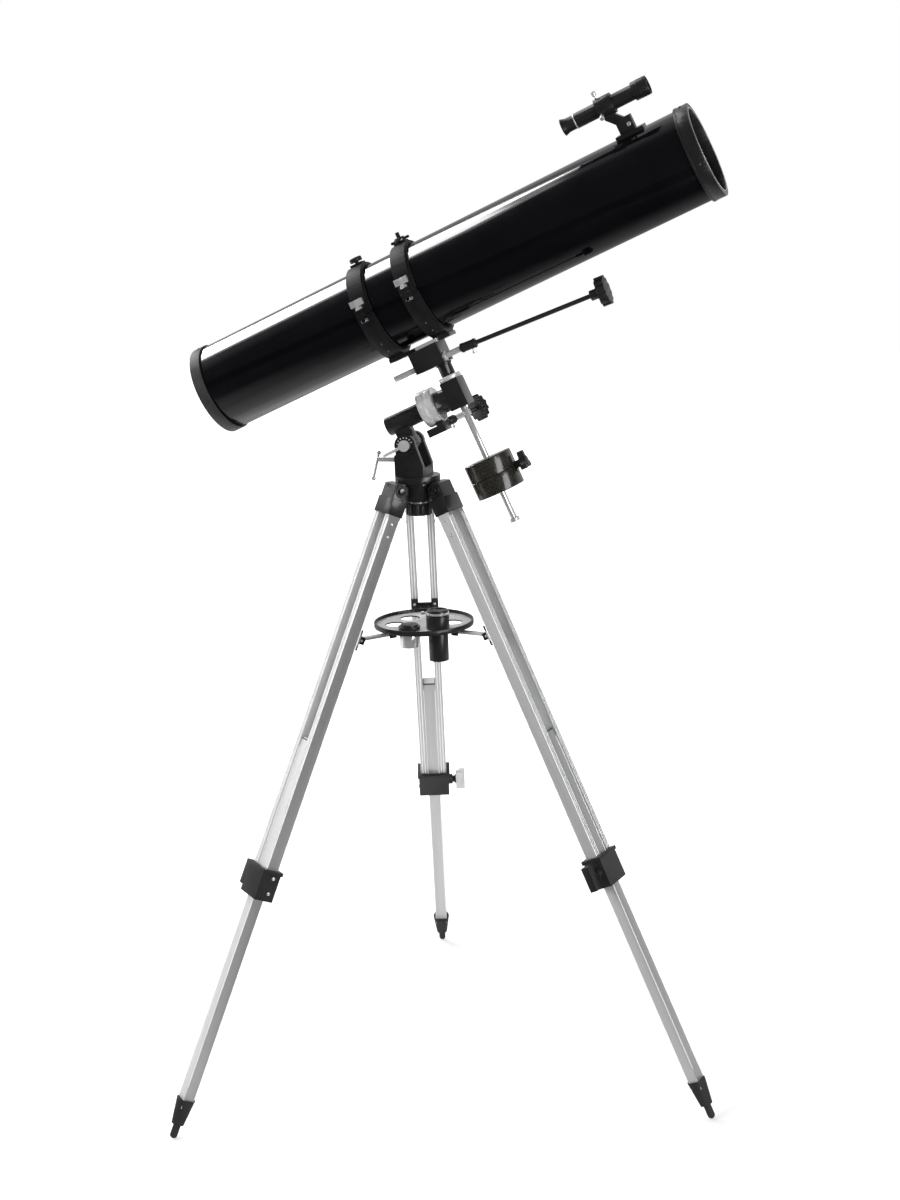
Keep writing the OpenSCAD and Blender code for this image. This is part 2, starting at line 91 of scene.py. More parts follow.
def leg_matrix(i):
    """The frame of leg i: origin on its hinge, Z up along the leg, X outwards."""
    hinge = Vector(JOINTS["leg_fold_%d" % i]["pos_m"])
    z = Vector(JOINTS["leg_extend_%d" % i]["axis"]).normalized()
    z = z if z.z > 0 else -z
    y = z.cross(Vector((hinge.x, hinge.y, 0))).normalized()
    return axes_matrix(y.cross(z), y, z, hinge)


EVERYWHERE = Matrix.Identity(4)
PIVOT = at(EVERYWHERE, *[MM_PER_M * v for v in JOINTS["latitude_tilt"]["pos_m"]])

# the head: X along the polar axis, Z along the declination axis
POLAR = Vector(JOINTS["polar_turn"]["axis"]).normalized()
DEC = Vector(JOINTS["declination_turn"]["axis"]).normalized()
HEAD = axes_matrix(POLAR, DEC.cross(POLAR), DEC, JOINTS["polar_turn"]["pos_m"])
TUBE_LIFT = 171.3
RINGS = {"rear": at(HEAD, -60, 0, TUBE_LIFT), "front": at(HEAD, 19, 0, TUBE_LIFT)}
DEC_WORM_Y, DEC_WORM_Z = -20, 62.5
DEC_WORM = at(HEAD, 0, DEC_WORM_Y, DEC_WORM_Z)
DEC_CABLE = turned(at(HEAD, 42, DEC_WORM_Y, DEC_WORM_Z), 3.2, "Y")
POLAR_CABLE = turned(at(HEAD, -43, 30, -32), 90 - 39.4, "Z")

# the tube: its origin is on its axis at its back end
TUBE_BACK_M = 0.365
FOCUSER_ALONG_M = 0.703
TUBE = HEAD.copy()
TUBE.translation = Vector(JOINTS["tube_turn"]["pos_m"]) - POLAR * TUBE_BACK_M
FOCUS_DIR = Vector(JOINTS["focus_slide"]["axis"]).normalized()
FOCUS = axes_matrix(POLAR, FOCUS_DIR.cross(POLAR), FOCUS_DIR,
                    TUBE @ Vector((FOCUSER_ALONG_M, 0, 0)))
FINDER = turned(TUBE, 8, "X")
FINDER_AXIS = at(FINDER, 0, 0, 121.5)

# the legs: the spreader's lugs are level with the arms, and this far in from the hinge's line
LEGS = {i: leg_matrix(i) for i in LEG_NUMBERS}
LUG_INSET_M = 0.024
ARM_LEVEL = sum(corner[2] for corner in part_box("arm_1")) / 2
SPLAY = math.acos(LEGS[1][2][2])
LUG_DROP = MM_PER_M * (
    LEGS[1].translation.z - ARM_LEVEL - LUG_INSET_M * math.sin(SPLAY)) / math.cos(SPLAY)

# the tray: its plate lies lower than the top of its rim
TRAY_FLOOR = MM_PER_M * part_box("tray")[1][2] - 5.5


# ---- materials ----
NOISE_SPAN = (0.3, 0.7)
EVEN = (1, 1, 1)
UNTURNED = (0, 0, 0)


class Tree:
    """Short hand for building a node tree."""

    def __init__(self, owner):
        owner.use_nodes = True
        self.tree = owner.node_tree

    def add(self, kind, **values):
        """A new node, with its inputs and settings given by name."""
        node = self.tree.nodes.new(kind)
        for key, value in values.items():
            if key in node.inputs:
                node.inputs[key].default_value = value
            else:
                setattr(node, key, value)
        return node

    def feed(self, value, socket):
        """Links an output to a socket, or sets the socket to a constant."""
        if isinstance(value, bpy.types.NodeSocket):
            self.tree.links.new(value, socket)
        else:
            socket.default_value = value

    def spread(self, value, to_span, from_span=NOISE_SPAN, **settings):
        """Maps one span of values onto another and stops at its ends."""
        node = self.add("ShaderNodeMapRange", **settings)
        keys = ("From Min", "From Max", "To Min", "To Max")
        for key, end in zip(keys, (*from_span, *to_span)):
            node.inputs[key].default_value = end
        self.feed(value, node.inputs["Value"])
        return node.outputs["Result"]

    def calculate(self, operation, one, two):
        """The result of a sum on two outputs or numbers."""
        node = self.add("ShaderNodeMath", operation=operation)
        self.feed(one, node.inputs[0])
        self.feed(two, node.inputs[1])
        return node.outputs["Value"]

    def toward(self, vector, direction):
        """How far a vector goes in a direction."""
        node = self.add("ShaderNodeVectorMath", operation="DOT_PRODUCT")
        self.feed(vector, node.inputs[0])
        self.feed(direction, node.inputs[1])
        return node.outputs["Value"]

    def blend(self, factor, one, two):
        """A colour between two colours."""
        node = self.add("ShaderNodeMix", data_type="RGBA")
        for key, value in (("Factor", factor), ("A", one), ("B", two)):
            self.feed(value, node.inputs[key])
        return node.outputs["Result"]

    def seen_by_camera(self):
        """1 where the camera looks straight at something, 0 for light and reflections."""
        return self.add("ShaderNodeLightPath").outputs["Is Camera Ray"]


class Look(Tree):
    """A material whose colour, roughness and relief come from noise."""

    def __init__(self, name):
        self.mat = bpy.data.materials.new(name)
        super().__init__(self.mat)
        self.shader = self.tree.nodes["Principled BSDF"]

    def set(self, **values):
        """Sets the shader's inputs, with _ for each space in a name."""
        for key, value in values.items():
            self.shader.inputs[key.replace("_", " ")].default_value = value

    def coords(self, stretch=EVEN, turn=UNTURNED):
        """The object's own coordinates, seen from a turned frame and drawn out along its axes."""
        where = self.add("ShaderNodeTexCoord")
        mapping = self.add("ShaderNodeMapping", vector_type="TEXTURE")
        mapping.inputs["Scale"].default_value = stretch
        mapping.inputs["Rotation"].default_value = turn
        self.feed(where.outputs["Object"], mapping.inputs["Vector"])
        return mapping.outputs["Vector"]

    def noise(self, size, detail=3.0, stretch=EVEN, turn=UNTURNED):
        """Noise whose cells are about size metres across."""
        node = self.add("ShaderNodeTexNoise", Scale=1.0 / size, Detail=detail)
        self.feed(self.coords(stretch, turn), node.inputs["Vector"])
        return node.outputs["Fac"]

    def colours(self, noise, low, high, from_span=NOISE_SPAN):
        """Base colour between two, following a noise."""
        factor = self.spread(noise, (0, 1), from_span)
        mixed = self.blend(factor, (*low, 1), (*high, 1))
        self.feed(mixed, self.shader.inputs["Base Color"])

    def roughness(self, noise, span):
        """Roughness within a span, following a noise."""
        self.feed(self.spread(noise, span), self.shader.inputs["Roughness"])

    def bump(self, noise, height):
        """Relief of a height in metres."""
        node = self.add("ShaderNodeBump", Strength=1.0, Distance=height)
        self.feed(noise, node.inputs["Height"])
        self.feed(node.outputs["Normal"], self.shader.inputs["Normal"])


def grey(value, blue=0.0):
    """A grey, or one with a little more blue."""
    return (value, value, value + blue)


def painted(name, low, high, rough, grain, height, coat=0.0, ior=1.5):
    """Paint or moulded plastic: a fine grain with a slow drift of colour and gloss."""
    n = Look(name)
    slow = n.noise(0.06, 4)
    fine = n.noise(grain, 2)
    n.colours(slow, low, high)
    n.roughness(slow, rough)
    n.bump(fine, height)
    n.set(Coat_Weight=coat, Coat_Roughness=0.08, IOR=ior)
    return n.mat


def metal(name, low, high, rough, grain, height, bare=1.0, stretch=EVEN, turn=UNTURNED):
    """Metal with brushing or fine machining. Less bare, it also scatters light as satin does."""
    n = Look(name)
    slow = n.noise(0.02, 3, stretch, turn)
    fine = n.noise(grain, 3, stretch, turn)
    n.colours(slow, low, high)
    n.roughness(fine, rough)
    n.bump(fine, height)
    n.set(Metallic=bare)
    return n.mat


def extruded(name, turn=UNTURNED):
    """Satin anodised extrusion, with faint lines along a frame's Z."""
    lengthwise = (1, 1, 60)
    return metal(name, (0.74, 0.75, 0.74), (0.86, 0.87, 0.86), (0.34, 0.46), 0.0016, 0.00002,
                 0.4, lengthwise, turn)


def hammered():
    """Black enamel with fine gold flecks and a dimpled skin."""
    n = Look("hammered_enamel")
    few = (0.60, 0.74)
    n.colours(n.noise(0.0009, 1), (0.012, 0.011, 0.009), (0.15, 0.13, 0.09), few)
    n.roughness(n.noise(0.01, 2), (0.20, 0.30))
    n.bump(n.noise(0.003, 1), 0.00008)
    n.set(Coat_Weight=0.6, Coat_Roughness=0.10, IOR=1.5)
    return n.mat


def coated_glass():
    """Lens glass with a blue coating."""
    n = Look("coated_glass")
    tint = n.noise(0.02, 2)
    n.colours(tint, (0.55, 0.62, 0.75), (0.70, 0.74, 0.88))
    n.roughness(tint, (0.01, 0.03))
    n.set(Transmission_Weight=0.7, IOR=1.52)
    return n.mat


def make_materials():
    """Every material by its key: a name, two colours, roughness, and a grain with its height."""
    made = {
        "tube": painted("gloss_tube_paint", grey(0.002, 0.001), grey(0.003, 0.001),
                        (0.09, 0.14), 0.004, 0.000003, ior=1.36),
        "casting": painted("black_casting", grey(0.009), grey(0.015),
                           (0.22, 0.34), 0.0012, 0.00003, coat=0.3),
        "hammer": hammered(),
        "matte": painted("matte_black", grey(0.006), grey(0.010),
                         (0.42, 0.55), 0.0012, 0.00002, ior=1.33),
        "plastic": painted("black_plastic", grey(0.012), grey(0.018),
                           (0.34, 0.46), 0.0006, 0.00002),
        "satin": painted("satin_plastic", grey(0.010), grey(0.016),
                         (0.26, 0.34), 0.0007, 0.00001),
        "cap": painted("grey_cap_plastic", grey(0.030), grey(0.042),
                       (0.38, 0.48), 0.0007, 0.00003),
        "rubber": painted("black_rubber", grey(0.016), grey(0.026),
                          (0.62, 0.78), 0.0008, 0.00006),
        "felt": painted("ring_felt", grey(0.010), grey(0.020), (0.90, 0.98), 0.0010, 0.00030),
        "inside": painted("flat_black_inside", grey(0.006), grey(0.010),
                          (0.80, 0.92), 0.0015, 0.00005),
        "aluminium": extruded("anodised_aluminium"),
        "chrome": metal("bright_plating", grey(0.88), grey(0.94),
                        (0.06, 0.12), 0.006, 0.000003, bare=0.72),
        "steel": metal("turned_steel", grey(0.80), grey(0.88),
                       (0.18, 0.28), 0.0016, 0.000003, bare=0.62),
        "dial": metal("dial_aluminium", grey(0.86), grey(0.92),
                      (0.30, 0.34), 0.0030, 0.000001, bare=0.55),
        "mirror": metal("silvered_glass", grey(0.86, 0.02), grey(0.90, 0.02),
                        (0.01, 0.02), 0.02, 0.0),
        "dark_steel": metal("blackened_steel", grey(0.10), grey(0.16),
                            (0.22, 0.34), 0.0008, 0.00001),
        # near-white for the strips on the leg extrusions: a painted highlight for the gleam of
        # their rounded edges
        "edge": painted("painted_highlight_edge", grey(0.92), grey(0.96), (0.22, 0.32), 0.002, 0.000002),
        "mark": painted("white_marks", grey(0.70), grey(0.78), (0.45, 0.55), 0.001, 0.00001),
        "ink": painted("dial_marks", grey(0.010), grey(0.016), (0.45, 0.55), 0.001, 0.00001),
        "glass": coated_glass(),
    }
    for i in LEG_NUMBERS:
        made["aluminium_%d" % i] = extruded("leg_aluminium_%d" % i, LEGS[i].to_euler())
    return made


MAT = make_materials()


# ---- making pieces ----
AXIS = {
    "x": lambda along, p, q: (along, p, q),
    "y": lambda along, p, q: (q, along, p),
    "z": lambda along, p, q: (p, q, along),
}
BEVEL_SEGMENTS = 2
BEVEL_FROM_DEGREES = 34
CAD_WELD_M = 0.00002
CAD_FLAT_DEGREES = 0.6
WELD_M = 0.000002
SLIVER_M2 = 1e-13


def give(obj, body, *materials):
    """Puts a finished object on a body with its materials. The first gives its slot."""
    for key in materials:
        obj.data.materials.append(MAT[key])
    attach(obj, body)
    return obj


def new_object(name, bm):
    """Makes an object in the scene from a bmesh, and frees it."""
    mesh = bpy.data.meshes.new(name)
    bm.to_mesh(mesh)
    bm.free()
    obj = bpy.data.objects.new(name, mesh)
    bpy.context.scene.collection.objects.link(obj)
    return obj


def round_edges(obj, width):
    """Rounds the sharp edges by a width in metres and shades the rest smooth."""
    for face in obj.data.polygons:
        face.use_smooth = True
    mod = obj.modifiers.new("ease", "BEVEL")
    mod.width = width
    mod.segments = BEVEL_SEGMENTS
    mod.limit_method = "ANGLE"
    mod.angle_limit = math.radians(BEVEL_FROM_DEGREES)
    mod.harden_normals = True


def body_of_node(node):
    """The body that a CAD node belongs to."""
    for body, nodes in BEHAVIOUR["bodies"].items():
        if node in nodes:
            return body
    raise ValueError(node)


def eased(node, material, width, zones=()):
    """A CAD node shown with its edges rounded, as a cast, moulded or broken edge is.

    A zone is a frame, a test on a face's middle in millimetres in that frame, and a material.
    """
    bm = bmesh.new()
    bm.from_mesh(NODES[node].data)
    bmesh.ops.remove_doubles(bm, verts=bm.verts, dist=CAD_WELD_M)
    bmesh.ops.dissolve_limit(bm, angle_limit=math.radians(CAD_FLAT_DEGREES),
                             verts=bm.verts, edges=bm.edges)
    for k, (where, test, _) in enumerate(zones):
        inverse = where.inverted()
        for face in bm.faces:
            if test(*(MM_PER_M * (inverse @ face.calc_center_median()))):
                face.material_index = k + 1
    obj = new_object(node + "_eased", bm)
    round_edges(obj, width)
    give(obj, body_of_node(node), material, *[zone[2] for zone in zones])
    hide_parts(node)


def closed_piece(name, bm, body, material, ease):
    """Makes a drawn closed mesh into a piece on its body."""
    bmesh.ops.remove_doubles(bm, verts=bm.verts, dist=WELD_M)
    bad = [face for face in bm.faces if face.calc_area() < SLIVER_M2]
    bmesh.ops.delete(bm, geom=bad, context="FACES_ONLY")
    bmesh.ops.recalc_face_normals(bm, faces=bm.faces)
    obj = new_object(name, bm)
    round_edges(obj, ease)
    return give(obj, body, material)


def lathe(name, outline, where, body, material, along="x", steps=48, sweep=(0, 360),
          ease=0.0003):
    """Turns a closed outline of (along, radius) points in millimetres about an axis of a frame."""
    start, stop = sweep
    whole = stop - start >= 360
    stations = steps + (not whole)
    bm = bmesh.new()
    rings = []
    for k in range(stations):
        w = math.radians(start + (stop - start) * k / steps)
        ring = []
        for s, r in outline:
            point = AXIS[along](s, r * math.cos(w), r * math.sin(w))
            ring.append(bm.verts.new(where @ (Vector(point) / MM_PER_M)))
        rings.append(ring)
    count = len(outline)
    for k in range(steps):
        one, two = rings[k], rings[(k + 1) % stations]
        for n in range(count):
            bm.faces.new((one[n], one[(n + 1) % count], two[(n + 1) % count], two[n]))
    if not whole:
        bm.faces.new(rings[0])
        bm.faces.new(rings[-1])
    return closed_piece(name, bm, body, material, ease)


def prism(name, outline, span, where, body, material, along="z", ease=0.0004):
    """Draws an outline in millimetres out along an axis of a frame. It lies in the next two."""
    bm = bmesh.new()
    one, two = [
        [bm.verts.new(where @ (Vector(AXIS[along](s, p, q)) / MM_PER_M)) for p, q in outline]
        for s in span]
    count = len(outline)
    for n in range(count):
        bm.faces.new((one[n], one[(n + 1) % count], two[(n + 1) % count], two[n]))
    bm.faces.new(one)
    bm.faces.new(two)
    return closed_piece(name, bm, body, material, ease)


def merged(name, pieces):
    """Joins pieces of one body and one material into one object."""
    first = pieces[0]
    bm = bmesh.new()
    for obj in pieces:
        bm.from_mesh(obj.data)
    bm.to_mesh(first.data)
    bm.free()
    for obj in pieces[1:]:
        bpy.data.objects.remove(obj)
    first.name = name


def box_outline(p0, p1, q0, q1):
    """A rectangle for prism."""
    return [(p0, q0), (p1, q0), (p1, q1), (p0, q1)]


def band(start, stop, inner, outer):
    """A ring's section for lathe."""
    return [(start, inner), (start, outer), (stop, outer), (stop, inner)]


def stepped(start, *steps):
    """A thumb screw's section for lathe: a solid with a radius up to each end in turn."""
    points = [(start, 0)]
    for end, r in steps:
        points += [(points[-1][0], r), (end, r)]
    return points + [(points[-1][0], 0)]


def star(arms, low, high, narrow):
    """An outline with rounded arms: radius from low to high, each arm narrow degrees wide."""
    shoulder = high * 0.94
    arm = ((-narrow, low), (-narrow * 0.5, shoulder), (0, high), (narrow * 0.5, shoulder),
           (narrow, low))
    points = []
    for k in range(arms):
        for step, r in arm:
            w = math.radians(360 / arms * k + step)
            points.append((r * math.cos(w), r * math.sin(w)))
    return points


def screw(name, where, body, r=2.6, h=1.6, along="y", sign=1, material="steel"):
    """A domed screw head with a socket, standing on a frame's origin."""
    outline = [(0, 0), (0, r), (h * 0.55, r), (h * 0.9, r * 0.75), (h, r * 0.42),
               (h * 0.35, r * 0.36), (h * 0.35, 0)]
    lathe(name, [(sign * s, q) for s, q in outline], where, body, material, along, 20,
          ease=0.00012)


def ticks(name, body, radius, span, count, width, height, along="x"):
    """Scale marks on a round edge of the head: thin bars, each fifth one full length."""
    sunk = 0.3
    short = span[0] + (span[1] - span[0]) * 0.55
    bm = bmesh.new()
    for k in range(count):
        w = math.radians(360 * k / count)
        corners = []
        for s in (span[0], short if k % 5 else span[1]):
            for r in (radius - sunk, radius + height):
                for half in (-0.5, 0.5):
                    turn = w + half * width / radius
                    point = AXIS[along](s, r * math.cos(turn), r * math.sin(turn))
                    corners.append(bm.verts.new(HEAD @ (Vector(point) / MM_PER_M)))
        for quad in ((0, 1, 3, 2), (4, 5, 7, 6), (0, 1, 5, 4), (2, 3, 7, 6), (0, 2, 6, 4),
                     (1, 3, 7, 5)):
            bm.faces.new([corners[q] for q in quad])
    closed_piece(name, bm, body, "ink", 0.00002)


# ---- zones: tests on a face's middle, in millimetres in the zone's own frame ----
def on_wheel_case(x, y, z):
    """The round case of the polar worm wheel."""
    return -48.6 < x < -35.8 and math.hypot(y, z) > 17


def on_eyepiece_barrel(_x, _y, z):
    """The barrel that hangs below the tray's plate."""
    return z < TRAY_FLOOR - 0.1


def on_tray_floor(_x, _y, z):
    """The upper face of the tray's plate, inside its rim."""
    return abs(z - TRAY_FLOOR) < 0.4


def on_ring_clamp(x, y, z):
    """The plated clamp screw: its head and wing above the ring's lug, and its shank."""
    lug_top = 8.1
    head = y < -79 and z > lug_top
    shank = math.hypot(x, y + 85) < 3.1 and z < lug_top
    return head or shank


def on_spreader_lug(x, _y, z):
    """The lug on a leg's inner side that holds its arm."""
    return x < -11.2 and z > -400


def on_knob_wings(_x, y, _z):
    """The wings of a leg's knob, beyond its shank."""
    return y < -39.9


# ---- the CAD nodes' looks: material, edge radius in metres, and zones ----
CAD_LOOKS = {
    "hub": ("casting", 0.0010), "azimuth_knob": ("plastic", 0.0012),
    "hinge_bolts": ("dark_steel", 0.0005), "yoke": ("casting", 0.0012),
    "latitude_bolt": ("steel", 0.0005), "latitude_screw": ("chrome", 0.0004),
    "polar_circle": ("dial", 0.0005), "polar_shaft": ("steel", 0.0004),
    "polar_worm": ("chrome", 0.0003), "polar_cable": ("plastic", 0.0008),
    "dec_housing": ("casting", 0.0022), "dec_circle": ("dial", 0.0005),
    "dec_shaft": ("steel", 0.0004), "dec_worm": ("chrome", 0.0004),
    "dec_cable": ("plastic", 0.0008), "weight_shaft": ("chrome", 0.0005),
    "counterweight": ("hammer", 0.0006), "weight_knob": ("plastic", 0.0018),
    "toe_stop": ("chrome", 0.0008), "saddle": ("casting", 0.0010),
    "ring_lowers": ("matte", 0.0008), "camera_screw": ("dark_steel", 0.0004),
    "tube": ("tube", 0.0003), "rear_cell": ("cap", 0.0012), "mirrors": ("mirror", 0.0002),
    "front_ring": ("satin", 0.0008), "spider": ("inside", 0.0002),
    "thumb_screws": ("chrome", 0.0006), "focuser_base": ("satin", 0.0008),
    "drawtube": ("chrome", 0.0004), "focus_pinion": ("plastic", 0.0008),
    "finder_bracket": ("satin", 0.0008), "finder_scope": ("satin", 0.0006),
    "barlow": ("satin", 0.0008),
    "polar_housing": ("casting", 0.0008, [(HEAD, on_wheel_case, "dial")]),
    "eyepiece": ("satin", 0.0005, [(EVERYWHERE, on_eyepiece_barrel, "chrome")]),
    "tray": ("satin", 0.0006, [(EVERYWHERE, on_tray_floor, "aluminium")]),
}
for key, ring in RINGS.items():
    CAD_LOOKS["ring_top_" + key] = ("matte", 0.0008, [(ring, on_ring_clamp, "chrome")])
for i, leg in LEGS.items():
    extrusion = "aluminium_%d" % i
    CAD_LOOKS["leg_head_%d" % i] = ("casting", 0.0014)
    CAD_LOOKS["rails_%d" % i] = (extrusion, 0.0008, [(leg, on_spreader_lug, "plastic")])
    CAD_LOOKS["collar_%d" % i] = ("plastic", 0.0016)
    CAD_LOOKS["leg_knob_%d" % i] = ("plastic", 0.0026)
    CAD_LOOKS["lower_leg_%d" % i] = (extrusion, 0.0010)
    CAD_LOOKS["foot_%d" % i] = ("rubber", 0.0010)
    CAD_LOOKS["arm_%d" % i] = (extrusion, 0.0005)
CAD_LOOKS["leg_knob_1"] += ([(LEGS[1], on_knob_wings, "steel")],)


# ---- fittings on the legs ----
RAIL_X, RAIL_Y = 11, 23
SLIDER_X, SLIDER_Y = 9, 10.8
SLIDER_TOP = -420
CLAMP_Z = -655


def make_leg_fittings(i):
    """Screws, bracket plates, hinge caps and bosses, the clamp's collar and the slider's top."""
    leg, upper, lower = LEGS[i], "upper_leg_%d" % i, "lower_leg_%d" % i
    lug = at(leg, 0, 0, -LUG_DROP)
    for side in SIDES:
        tag = "%d_%d" % (i, side + 1)
        for n, z in enumerate((-54, -75)):
            screw("rail_screw_%s_%d" % (tag, n), at(leg, 0, side * RAIL_Y, z), upper, sign=side)
        plate = box_outline(-17, 17, -15, -11)
        prism("bracket_" + tag, plate, (side * 17 - 5.6, side * 17 + 5.6), lug, upper,
              "plastic", "y", 0.0008)
        screw("bracket_screw_" + tag, at(lug, -15, side * 17, 8), upper, 2.4, 1.8, "x", -1)
        boss = [(17.9, 6), (17.9, 10.5), (19.2, 9.8), (19.2, 7.5), (18.4, 7.0), (18.4, 6)]
        lathe("hinge_boss_" + tag, [(side * s, r) for s, r in boss], leg, upper, "casting",
              "y", 32, ease=0.0002)
    cap = [(-15, 10.9), (-15, 13.4), (8.2, 13.4), (13.6, 1.0), (11.6, 0.2), (6.2, 10.9)]
    prism("hinge_cap_%d" % i, cap, (-18.6, 18.6), leg, upper, "casting", "y", 0.0008)
    for n, z in enumerate((CLAMP_Z + 13, CLAMP_Z - 12)):
        screw("collar_screw_%d_%d" % (i, n), at(leg, -4, 27, z), upper, 2.9, 1.8)
    lathe("clamp_collar_%d" % i, stepped(-34, (-37.5, 5), (-40, 8)), at(leg, 0, 0, CLAMP_Z),
          "leg_knob_%d" % i, "plastic", "y", 24)
    prism("leg_end_cap_%d" % i, box_outline(-8.6, 8.6, -10.4, 10.4),
          (SLIDER_TOP, SLIDER_TOP + 1.8), leg, lower, "cap", "z", 0.0004)
    prism("leg_end_pad_%d" % i, box_outline(-8.2, 8.2, -10.0, 10.0),
          (SLIDER_TOP + 1.7, SLIDER_TOP + 3.4), leg, lower, "aluminium", "z", 0.0008)


def make_edge_lines(i):
    """Raised strips beside each rail's grooves and on the extrusions' corners, coloured
    near-white: a painted highlight for the gleam of their rounded edges.
    """
    width, sunk = 1.2, 0.1
    rail_span, slider_span = (-628, -46), (-998, SLIDER_TOP - 12)
    rail, slider = [], []

    def line(outline, span, body, ease):
        return prism("line", outline, span, LEGS[i], "%s_%d" % (body, i), "edge", "z", ease)

    for side in SIDES:
        for y in (-19.8, -15.4, 14.2, 18.6):
            face = box_outline(side * (RAIL_X - sunk), side * (RAIL_X + 0.15), y, y + width)
            rail.append(line(face, rail_span, "upper_leg", 0.00004))
        for x in (-10.9, 9.7):
            face = box_outline(x, x + width, side * (RAIL_Y - sunk), side * (RAIL_Y + 0.15))
            rail.append(line(face, rail_span, "upper_leg", 0.00004))
        for y in (-SLIDER_Y, SLIDER_Y - 1.3):
            face = box_outline(side * (SLIDER_X - sunk), side * (SLIDER_X + 0.10), y, y + 1.3)
            slider.append(line(face, slider_span, "lower_leg", 0.00003))
    merged("rail_highlight_lines_%d" % i, rail)
    merged("slider_highlight_lines_%d" % i, slider)


# ---- fittings on the mount ----
def make_latitude_scale():
    """The disc on the yoke's near cheek with its white marks."""
    face = -30.5
    disc = [(-29.05, 9.6), (-29.05, 16), (-30.2, 17), (-31.0, 17), (-31.0, 14.5), (face, 14.2),
            (face, 9.6)]
    lathe("cheek_disc", disc, PIVOT, "azimuth_base", "casting", "y", 48)
    for k in range(7):
        w = math.radians(25 + 24 * k)
        lathe("latitude_mark_%d" % k, band(0.05, -0.15, 0, 0.9),
              at(PIVOT, 12.2 * math.cos(w), face, 12.2 * math.sin(w)), "azimuth_base", "mark",
              "y", 12, ease=0.00005)


def make_mount_fittings():
    """Washers, collars, plates and scale marks on the mount."""
    make_latitude_scale()
    lathe("stud_washer", band(962.2, 965.8, 8.2, 13.5), EVERYWHERE, "azimuth_knob", "steel",
          "z", 36)
    ticks("polar_marks", "polar_circle", 29.5, (-60.4, -56.0), 72, 0.45, 0.06)
    lathe("polar_vernier", band(-48.4, -46.6, 18.6, 29.4), HEAD, "polar_head", "dial")
    dish = [(-36.1, 18.7), (-36.1, 28.6), (-35.0, 28.6), (-34.4, 27.2), (-35.2, 22.5),
            (-35.2, 18.7)]
    lathe("wheel_dish", dish, HEAD, "polar_head", "chrome", "x", 64)
    ticks("dec_marks", "dec_circle", 18.0, (26.6, 30.6), 60, 0.4, 0.05, "z")
    lathe("neck_collar", band(51.0, 53.8, 11.6, 13.2), HEAD, "cradle", "casting", "z")
    prism("cradle_plate", box_outline(-23, 15, -30.5, -19), (88.1, 93.6), HEAD, "cradle",
          "chrome", "z", 0.0008)
    weight_end = -137 + 28.4
    bush = [(weight_end, 5.1), (weight_end, 9.5), (weight_end + 1, 9.0), (weight_end + 1, 5.1)]
    lathe("weight_bush", bush, HEAD, "counterweight", "steel", "z")


def make_cable_fittings():
    """Sleeves, set screws and bands of the two slow-motion cables."""
    lathe("worm_sleeve", band(13, 40.5, 2.9, 4.6), DEC_WORM, "dec_worm", "chrome")
    bush = [(12.1, 4.9), (12.1, 7.6), (15.6, 7.0), (15.6, 4.9)]
    lathe("worm_bush", bush, DEC_WORM, "cradle", "steel")
    lathe("cable_screw", stepped(-6.8, (-11, 1.5), (-14.5, 3)), at(DEC_CABLE, 18, 0, 0),
          "dec_cable", "chrome", "z", 20)
    for n, s in enumerate((2.5, 22.5)):
        lathe("coupler_band_%d" % n, band(s, s + 1.6, 6.9, 7.6), DEC_CABLE, "dec_cable",
              "plastic")
    lathe("polar_cable_sleeve", band(16, 46, 3.9, 5.0), POLAR_CABLE, "polar_cable", "steel")
    lathe("polar_cable_screw", stepped(-6.8, (-10, 1.4), (-13, 2.8)),
          at(POLAR_CABLE, 8, 0, 0), "polar_cable", "chrome", "z", 20)


# ---- fittings on the rings and the tube ----
def make_ring_fittings():
    """Felt, nuts and rivets in both rings, and the knobs on top of them."""
    felt = band(-14.4, 14.4, 70.15, 72.2)
    rivet_lift, rivet_out = 77.0, (-42, -58)
    for key, ring in RINGS.items():
        lathe("felt_top_" + key, felt, ring, "ring_" + key, "felt", "x", 40, (2, 178))
        lathe("felt_low_" + key, felt, ring, "cradle", "felt", "x", 40, (182, 358))
        for side in SIDES:
            lathe("ring_nut_%s_%d" % (key, side + 1), band(-8.2, -12.6, 3.2, 6.2),
                  at(ring, 0, -85, 0), "cradle", "chrome", "z", 6)
        for n, degrees in enumerate(rivet_out):
            w = math.radians(-90 + degrees)
            screw("ring_rivet_%s_%d" % (key, n),
                  at(ring, 0, rivet_lift * math.sin(w), rivet_lift * math.cos(w)), "cradle",
                  0.9, 0.5)
    pad = [(3, 0), (3, 3.2), (6, 3.2), (6, 10), (11.5, 10), (12.5, 9), (12.5, 0)]
    lathe("rear_ring_cap", [(77 + s, r) for s, r in pad], RINGS["rear"], "ring_rear",
          "plastic", "z", 40)
    prism("camera_wheel_arms", star(4, 6.5, 16.5, 13), (80.4, 84.6), RINGS["front"],
          "camera_screw", "plastic", "z", 0.001)
    hub = [(80.2, 3.4), (80.2, 8.5), (86.5, 8.0), (86.5, 3.4)]
    lathe("camera_wheel_hub", hub, RINGS["front"], "camera_screw", "plastic", "z")


def make_tube_fittings():
    """The bright edge of the mouth, and the screws of the front ring and the rear cell."""
    lathe("mouth_edge", band(867.6, 868.5, 64.9, 66.0), TUBE, "telescope", "steel", "x", 96,
          ease=0.0002)
    lathe("ring_step", band(847.2, 850.6, 72.9, 73.6), TUBE, "telescope", "satin", "x", 96)
    for k in range(4):
        spot = turned(TUBE, 15 + 90 * k, "X")
        for name, x, z in (("ring_screw", 858, 73), ("cap_screw", 6, 72.5)):
            screw("%s_%d" % (name, k), at(spot, x, 0, z), "telescope", 1.9, 1.4, "z", 1,
                  "dark_steel")


